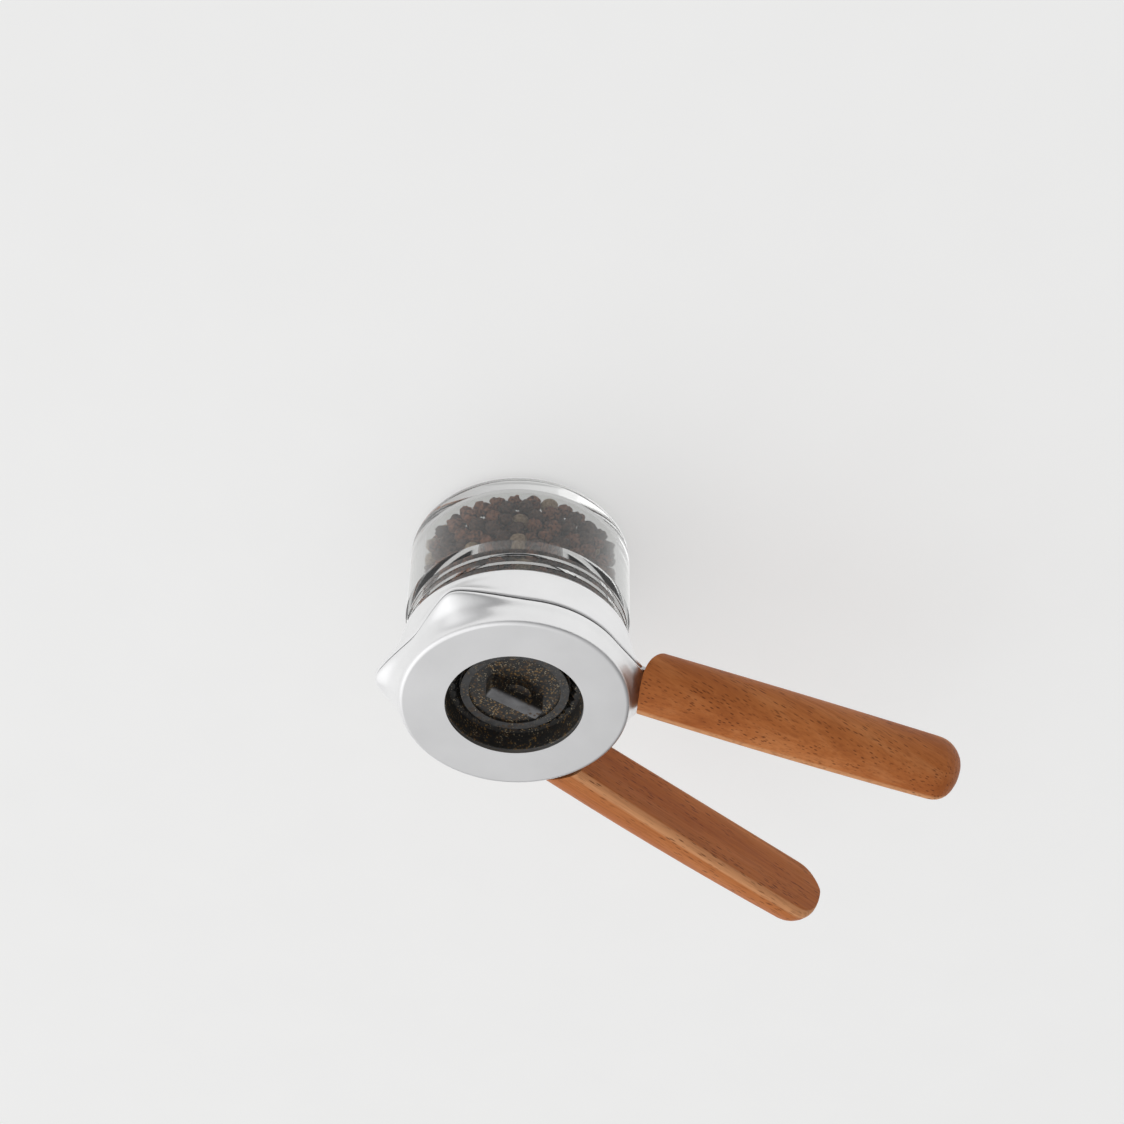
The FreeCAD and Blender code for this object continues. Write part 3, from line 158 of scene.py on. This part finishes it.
class Nodes:
    """Node tree of a material or a world, with short calls to add and join nodes."""

    def __init__(self, owner, shader, output):
        owner.use_nodes = True
        self.owner = owner
        self.tree = owner.node_tree
        self.shader = self.tree.nodes[shader]
        self.output = self.tree.nodes[output]

    def add(self, kind, **values):
        node = self.tree.nodes.new("ShaderNode" + kind)
        for key, value in values.items():
            setattr(node, key, value)
        return node

    def join(self, source, target):
        self.tree.links.new(source, target)

    def set(self, **values):
        """Constants on the shader's own sockets, with _ for the spaces in their names."""
        for key, value in values.items():
            self.shader.inputs[key.replace("_", " ")].default_value = value

    def coords(self, scale=(1, 1, 1), turn=(0, 0, 0)):
        """Coordinates in the part's frame, turned and then scaled."""
        place = self.add("TexCoord")
        turned = self.add("Mapping", vector_type="POINT")
        turned.inputs["Rotation"].default_value = [math.radians(a) for a in turn]
        self.join(place.outputs["Object"], turned.inputs["Vector"])
        scaled = self.add("Mapping", vector_type="POINT")
        scaled.inputs["Scale"].default_value = scale
        self.join(turned.outputs["Vector"], scaled.inputs["Vector"])
        return scaled.outputs["Vector"]

    def axis(self, vector, name):
        """One coordinate of a vector."""
        node = self.add("SeparateXYZ")
        self.join(vector, node.inputs["Vector"])
        return node.outputs[name]

    def noise(self, vector, scale=1.0, detail=3.0, rough=0.5, distortion=0.0):
        node = self.add("TexNoise")
        node.inputs["Scale"].default_value = scale
        node.inputs["Detail"].default_value = detail
        node.inputs["Roughness"].default_value = rough
        node.inputs["Distortion"].default_value = distortion
        self.join(vector, node.inputs["Vector"])
        return node.outputs["Fac"]

    def cells(self, vector, scale=1.0):
        """Distance from the middle of the nearest random cell."""
        node = self.add("TexVoronoi", feature="F1")
        node.inputs["Scale"].default_value = scale
        self.join(vector, node.inputs["Vector"])
        return node.outputs["Distance"]

    def ramp(self, value, stops):
        """Colour ramp with (position, colour) stops."""
        node = self.add("ValToRGB")
        points = node.color_ramp.elements
        while len(points) < len(stops):
            points.new(0.5)
        for point, (position, colour) in zip(points, stops):
            point.position = position
            point.color = (*colour, 1.0)
        self.join(value, node.inputs["Fac"])
        return node.outputs["Color"]

    def shades(self, noise, low, high):
        """From one colour to another over a noise texture's values."""
        return self.ramp(noise, list(zip(NOISE_SPREAD, (low, high))))

    def span(self, value, source, target):
        """Maps a range of values to another one, held at its ends."""
        node = self.add("MapRange", clamp=True)
        node.inputs["From Min"].default_value, node.inputs["From Max"].default_value = source
        node.inputs["To Min"].default_value, node.inputs["To Max"].default_value = target
        self.join(value, node.inputs["Value"])
        return node.outputs["Result"]

    def band(self, value, rise, fall, level=1.0):
        """A level between two soft edges, and nothing outside them."""
        return self.times(self.span(value, rise, (0.0, level)), self.span(value, fall, (1.0, 0.0)))

    def mix(self, share, first, second):
        """Blend of two colours, of which the second may be a constant."""
        node = self.add("Mix", data_type="RGBA")
        under, over = [socket for socket in node.inputs if socket.type == "RGBA"]
        self.join(share, node.inputs["Factor"])
        self.join(first, under)
        if isinstance(second, tuple):
            over.default_value = (*second, 1.0)
        else:
            self.join(second, over)
        return [socket for socket in node.outputs if socket.type == "RGBA"][0]

    def calculate(self, operation, *values):
        """Math node on sockets and constants."""
        node = self.add("Math", operation=operation)
        for value, socket in zip(values, node.inputs):
            if isinstance(value, float):
                socket.default_value = value
            else:
                self.join(value, socket)
        return node.outputs["Value"]

    def times(self, first, second):
        return self.calculate("MULTIPLY", first, second)

    def bump(self, height, strength, distance):
        node = self.add("Bump")
        node.inputs["Strength"].default_value = strength
        node.inputs["Distance"].default_value = distance
        self.join(height, node.inputs["Height"])
        self.join(node.outputs["Normal"], self.shader.inputs["Normal"])

    def colour(self, output):
        self.join(output, self.shader.inputs["Base Color"])

    def rough(self, noise, low, high):
        """Roughness that follows a noise texture."""
        self.join(self.span(noise, NOISE_SPREAD, (low, high)), self.shader.inputs["Roughness"])

    def show(self, share, first, second):
        """Sends a mix of two shaders to the output."""
        node = self.add("MixShader")
        self.join(share, node.inputs["Fac"])
        self.join(first, node.inputs[1])
        self.join(second, node.inputs[2])
        self.join(node.outputs["Shader"], self.output.inputs["Surface"])


def new_material(name):
    return Nodes(bpy.data.materials.new(name), "Principled BSDF", "Material Output")


def metal(name, light, dark, roughness, grain=900.0):
    """Satin metal with fine grain and slightly uneven polish."""
    m = new_material(name)
    m.set(Metallic=1.0)
    fine = m.noise(m.coords(), grain, detail=2.0)
    broad = m.noise(m.coords(), scale=60.0)
    m.colour(m.shades(broad, dark, light))
    m.rough(fine, *[roughness * share for share in METAL_ROUGH])
    m.bump(fine, strength=0.008, distance=0.00002)
    return m.owner


def beech(name, lean, slope):
    """Steamed beech: warm growth bands, short dark rays, fine threads, and a painted highlight on the
    rounded edges, partly wear.
    """
    m = new_material(name)

    def cut(along, across):
        """Coordinates in cells for each metre along and across the grain."""
        return m.coords((along, across, across), (0, slope, -lean))

    bands = m.noise(cut(along=9, across=150), detail=5.0, rough=0.6, distortion=0.6)
    base = m.ramp(bands, WOOD_BANDS)
    zone = m.noise(cut(along=16, across=45), detail=2.0)
    base = m.mix(m.span(zone, (0.35, 0.7), (0.0, 0.45)), base, WOOD_ZONE)
    # Painted highlight, partly wear: paler wood on the rounded edges beside the flat inner face
    off_axis = m.calculate("ABSOLUTE", m.axis(m.coords(turn=(0, 0, -lean)), "Y"))
    base = m.mix(m.band(off_axis, EDGE_HIGHLIGHT_FROM, EDGE_HIGHLIGHT_TO, EDGE_HIGHLIGHT_SHARE), base, WOOD_EDGE_HIGHLIGHT)
    thread = m.noise(cut(along=60, across=1500), rough=0.6)
    base = m.mix(m.span(thread, (0.45, 0.75), (0.0, 0.45)), base, WOOD_THREAD)
    ray = m.span(m.cells(cut(along=250, across=1700)), (0.16, 0.34), (1.0, 0.0))
    patch = m.span(m.noise(cut(along=70, across=220), detail=2.0), (0.40, 0.60), (0.12, 0.78))
    m.colour(m.mix(m.times(ray, patch), base, WOOD_RAY))
    fine = m.noise(cut(along=200, across=3000), detail=2.0)
    m.rough(fine, low=0.42, high=0.60)
    m.set(Specular_IOR_Level=0.12)
    m.bump(fine, strength=0.10, distance=0.00008)
    return m.owner


def specks(m, where, base, kinds, cover):
    """Lays kinds of PEPPER_GRAINS over a base colour, in patches where a noise passes the cover's range."""
    for scale, size, colour in kinds:
        grain = m.span(m.cells(where, scale), (size, size * GRAIN_EDGE), (1.0, 0.0))
        patch = m.span(m.noise(where, scale * PATCH_SCALE, detail=2.0), cover, (0.0, 1.0))
        base = m.mix(m.times(grain, patch), base, colour)
    return base


def dusted_plastic(name, low, high, cover):
    """Moulded black plastic with ground pepper clinging to it."""
    m = new_material(name)
    where = m.coords()
    grain = m.noise(where, PLASTIC_GRAIN, detail=2.0)
    m.colour(specks(m, where, m.shades(grain, low, high), PEPPER_GRAINS, cover))
    m.rough(grain, low=0.42, high=0.62)
    m.bump(grain, strength=0.15, distance=0.0001)
    return m.owner


def dial_plastic(name, bar_z):
    """The dial's plastic: dusted in its well, with a painted sheen on the rim's and the bar's tops."""
    m = new_material(name)
    where = m.coords()
    height = m.axis(where, "Z")
    grain = m.noise(where, PLASTIC_GRAIN, detail=2.0)
    base = m.shades(grain, (0.008, 0.008, 0.008), (0.026, 0.025, 0.024))
    colour = specks(m, where, base, PEPPER_GRAINS, (0.42, 0.60))
    # Painted sheen on the rim's top, in patches
    rim_sheen = m.shades(grain, (0.045, 0.045, 0.046), (0.070, 0.070, 0.071))
    rim_sheen_patches = m.span(m.noise(where, scale=500.0), (0.35, 0.6), (0.3, 0.9))
    colour = m.mix(m.times(m.band(height, RIM_SHEEN_FROM, RIM_SHEEN_TO), rim_sheen_patches), colour, rim_sheen)
    # Painted sheen on the bar's top
    pale = m.shades(m.noise(where, scale=300.0), (0.085, 0.085, 0.088), (0.165, 0.165, 0.170))
    near_top = m.span(height, [bar_z - depth for depth in BAR_SHEEN_DEPTHS], (0.0, 1.0))
    colour = m.mix(near_top, colour, pale)
    m.colour(specks(m, where, colour, PEPPER_GRAINS[:1], (0.56, 0.66)))
    m.rough(grain, low=0.38, high=0.58)
    m.bump(grain, strength=0.15, distance=0.0001)
    return m.owner


def glass(name):
    """Clear pressed glass, with the slight waviness of its walls."""
    m = new_material(name)
    m.set(Base_Color=(0.92, 0.925, 0.915, 1.0), Roughness=0.015)
    m.set(IOR=1.5, Transmission_Weight=1.0, Specular_IOR_Level=0.3)
    wave = m.noise(m.coords(scale=(1, 1, 0.5)), scale=70.0, detail=1.0)
    m.bump(wave, strength=0.06, distance=0.0004)
    return m.owner


def matt(name, low, high, roughness):
    """Moulded matt material with fine grain."""
    m = new_material(name)
    grain = m.noise(m.coords(), scale=700.0)
    m.colour(m.shades(grain, low, high))
    m.rough(grain, *[roughness * share for share in MATT_ROUGH])
    m.bump(grain, strength=0.1, distance=0.0001)
    return m.owner


def peppercorn(name, dark, light):
    """Dried corn: painted shade in the hollows of its wrinkled skin, which is dull."""
    m = new_material(name)
    where = m.coords()
    skin = m.noise(where, scale=1200.0, detail=4.0, rough=0.65)
    tint = m.noise(where, scale=260.0, detail=1.0)
    # Painted shade: darker where the bumped skin dips
    base = m.ramp(skin, [(0.40, dark), (0.62, light)])
    m.colour(m.mix(m.span(tint, (0.35, 0.65), (0.0, 0.25)), base, light))
    m.rough(skin, low=0.55, high=0.8)
    m.bump(skin, strength=1.0, distance=0.0006)
    return m.owner


def floor_material():
    """Pale matt floor that keeps the shadow; metal and glass see its glow alone, and the camera a share."""
    m = new_material("floor")
    m.set(Roughness=0.9, Specular_IOR_Level=0.2)
    grain = m.noise(m.coords(), scale=40.0, detail=2.0)
    m.colour(m.shades(grain, (0.86, 0.86, 0.855), (0.88, 0.88, 0.875)))
    ray = m.add("LightPath").outputs
    reflected = m.calculate("MAXIMUM", ray["Is Glossy Ray"], ray["Is Transmission Ray"])
    share = m.calculate("MULTIPLY_ADD", ray["Is Camera Ray"], GLOW_SHARE, reflected)
    loss = GLOW_IN_GLASS - GLOW_IN_METAL
    level = m.calculate("MULTIPLY_ADD", ray["Is Transmission Ray"], loss, GLOW_IN_METAL)
    glow = m.add("Emission")
    glow.inputs["Color"].default_value = (1.0, 1.0, 0.995, 1.0)
    m.join(level, glow.inputs["Strength"])
    m.show(share, m.shader.outputs["BSDF"], glow.outputs["Emission"])
    return m.owner


def paint(node_materials):
    """Gives each CAD node its one material."""
    for name, material in node_materials.items():
        slots = nodes[name].data.materials
        for i in range(len(slots)):
            slots[i] = material
        if not slots:
            slots.append(material)


def smooth(name):
    """Shades a CAD node smooth below an edge angle, without touching its vertices."""
    mesh = nodes[name].data
    mesh.shade_smooth()
    mesh.set_sharp_from_angle(angle=math.radians(SMOOTH_BELOW))


def add_mesh(name, points, faces, material):
    """New mesh object in the scene, with one material."""
    mesh = bpy.data.meshes.new(name)
    mesh.from_pydata(points, [], faces)
    mesh.materials.append(material)
    piece = bpy.data.objects.new(name, mesh)
    scene.collection.objects.link(piece)
    return piece


def pack_corns():
    """Centres and radii of corns that fill the jar: random starts, then pushed apart and kept inside."""
    rng = np.random.default_rng(SEED)
    radius = rng.uniform(*CORN_R, CORN_COUNT)
    angle = rng.uniform(0, 2 * math.pi, CORN_COUNT)
    spread = np.sqrt(rng.uniform(0.0, 1.0, CORN_COUNT)) * JAR_BORE_R
    centre = np.stack([spread * np.cos(angle), spread * np.sin(angle),
                       rng.uniform(JAR_FLOOR_Z, FILL_TOP_Z, CORN_COUNT)], axis=1)
    for step in range(SETTLE_STEPS):
        gap = centre[:, None, :] - centre[None, :, :]
        distance = np.linalg.norm(gap, axis=2) + np.eye(CORN_COUNT)
        overlap = np.maximum(0.0, radius[:, None] + radius[None, :] - distance)
        np.fill_diagonal(overlap, 0.0)
        push = (gap / distance[:, :, None] * overlap[:, :, None]).sum(axis=1)
        centre = centre + push * SETTLE_EASE
        centre[:, 2] -= FALL * max(0.0, 1.0 - step / FALL_STEPS)
        centre[:, 2] = np.clip(centre[:, 2], JAR_FLOOR_Z + radius, FILL_TOP_Z - radius)
        corner = np.maximum(0.0, JAR_CORNER_R - (centre[:, 2] - JAR_FLOOR_Z - radius))
        wall = JAR_BORE_R - radius - WALL_GAP - corner * CORNER_INSET
        reach = np.linalg.norm(centre[:, :2], axis=1)
        shrink = np.minimum(1.0, wall / np.maximum(reach, 1e-9))
        centre[:, :2] *= shrink[:, None]
    return centre, radius


def unit_sphere():
    """Vertices and faces of a unit sphere."""
    mesh = bmesh.new()
    bmesh.ops.create_icosphere(mesh, subdivisions=3, radius=1.0)
    mesh.verts.ensure_lookup_table()
    points = np.array([v.co[:] for v in mesh.verts])
    faces = np.array([[v.index for v in f.verts] for f in mesh.faces])
    mesh.free()
    return points, faces


def wrinkled(sphere, depth, rng):
    """The unit sphere with random furrows of one depth."""
    waves = rng.normal(size=(FURROWS, 3)) * FURROW_WAVES
    phase = rng.uniform(0, 2 * math.pi, FURROWS)
    furrow = np.abs(np.sin(sphere @ waves.T + phase)).min(axis=1)
    swell = 1.0 - depth * np.exp(-(furrow / FURROW_WIDTH) ** 2)
    return sphere * swell[:, None]


def add_corns():
    """Wrinkled peppercorns in three colours, one mesh for each colour, riding on the jar."""
    rng = np.random.default_rng(SEED + 1)
    centre, radius = pack_corns()
    sphere, faces = unit_sphere()
    pick = rng.choice(len(CORN_KINDS), CORN_COUNT, p=[kind["share"] for kind in CORN_KINDS.values()])
    for number, (name, kind) in enumerate(CORN_KINDS.items()):
        chosen = np.flatnonzero(pick == number)
        corns = [wrinkled(sphere, kind["furrow"], rng) * radius[i] + centre[i] for i in chosen]
        points = np.concatenate(corns).tolist()
        triangles = np.concatenate([faces + count * len(sphere) for count in range(len(corns))]).tolist()
        material = peppercorn("corn_" + name, kind["dark"], kind["light"])
        piece = add_mesh("corns_" + name, points, triangles, material)
        piece.data.shade_smooth()
        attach(piece, "jar")


def add_floor():
    """Floor that stays under the jar when the jar is unscrewed."""
    corners = [(x * FLOOR_HALF, y * FLOOR_HALF, FLOOR_Z) for x, y in ((-1, -1), (1, -1), (1, 1), (-1, 1))]
    floor = add_mesh("floor", corners, [(0, 1, 2, 3)], floor_material())
    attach(floor, "jar")


def add_surround():
    """Surround, brightest overhead and away from the handles; the camera sees a plain pale backdrop."""
    m = Nodes(bpy.data.worlds.new("studio"), "Background", "World Output")
    scene.world = m.owner
    toward = m.add("VectorMath", operation="DOT_PRODUCT")
    m.join(m.add("TexCoord").outputs["Generated"], toward.inputs[0])
    toward.inputs[1].default_value = BRIGHT_SIDE
    m.join(m.ramp(toward.outputs["Value"], SURROUND), m.shader.inputs["Color"])
    m.set(Strength=1.0)
    plain = m.add("Background")
    plain.inputs["Color"].default_value = BACKDROP
    ray = m.add("LightPath").outputs
    m.show(ray["Is Camera Ray"], m.shader.outputs["Background"], plain.outputs["Background"])


def add_lamp(name, place, target, size, power):
    lamp = bpy.data.lights.new(name, "AREA")
    lamp.shape = "RECTANGLE"
    lamp.size, lamp.size_y = size
    lamp.energy = power
    piece = bpy.data.objects.new(name, lamp)
    piece.location = place
    piece.rotation_euler = (Vector(target) - Vector(place)).to_track_quat("-Z", "Y").to_euler()
    scene.collection.objects.link(piece)


def add_camera():
    camera = bpy.data.cameras.new("camera")
    camera.sensor_width = CAMERA_SENSOR
    camera.lens = CAMERA_LENS
    camera.clip_start, camera.clip_end = CAMERA_CLIP
    piece = bpy.data.objects.new("camera", camera)
    piece.location = CAMERA_AT
    piece.rotation_euler = [math.radians(a) for a in CAMERA_TURN]
    scene.collection.objects.link(piece)
    scene.camera = piece


satin = metal("satin_metal", (0.87, 0.87, 0.875), (0.80, 0.80, 0.805), roughness=0.36)
cast = metal("cast_metal", (0.50, 0.50, 0.51), (0.42, 0.42, 0.43), roughness=0.36, grain=600.0)
steel = metal("steel", (0.56, 0.56, 0.57), (0.46, 0.46, 0.47), roughness=0.30)
spring = metal("spring_steel", (0.50, 0.50, 0.52), (0.40, 0.40, 0.42), roughness=0.28, grain=1400.0)
brass = metal("brass", (0.80, 0.60, 0.28), (0.66, 0.47, 0.19), roughness=0.28)
plastic = dusted_plastic("black_plastic", (0.010, 0.010, 0.010), (0.030, 0.029, 0.028), cover=(0.44, 0.62))
ceramic = dusted_plastic("ceramic", (0.014, 0.014, 0.014), (0.040, 0.039, 0.037), cover=(0.46, 0.62))
dial = dial_plastic("dial_plastic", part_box("adjust_dial")[1][2])
nylon = matt("nylon", (0.64, 0.62, 0.56), (0.74, 0.72, 0.66), roughness=0.5)
silicone = matt("silicone", (0.70, 0.70, 0.68), (0.80, 0.80, 0.78), roughness=0.65)
fixed_beech = beech("beech_fixed", lean=HANDLE_ANGLE, slope=GRAIN_SLOPE)
moving_beech = beech("beech_moving", lean=-HANDLE_ANGLE, slope=0.0)

paint({
    "glass_jar": glass("clear_glass"), "jar_gasket": silicone,
    "upper_shell": satin, "lower_shell": satin, "housing_dowels": steel,
    "fixed_tang": steel, "fixed_handle": fixed_beech,
    "drive_lever": cast, "moving_handle": moving_beech,
    "pawl_pins": steel, "pawl_a": steel, "pawl_b": steel,
    "pawl_spring_a": spring, "pawl_spring_b": spring, "return_spring": spring,
    "rotor_bush": nylon, "ratchet_rotor": nylon, "spindle": steel, "adjust_spring": spring,
    "burr_carrier": plastic, "carrier_screws": steel, "outer_burr": ceramic, "inner_burr": ceramic,
    "thrust_washer": steel, "adjust_dial": dial, "dial_nut": brass,
})
for node in nodes:
    smooth(node)

# The clear jar lets the lamps reach its corns
nodes["glass_jar"].visible_shadow = False
add_corns()
add_floor()
add_surround()
for lamp, values in LAMPS.items():
    add_lamp(lamp, *values)
add_camera()
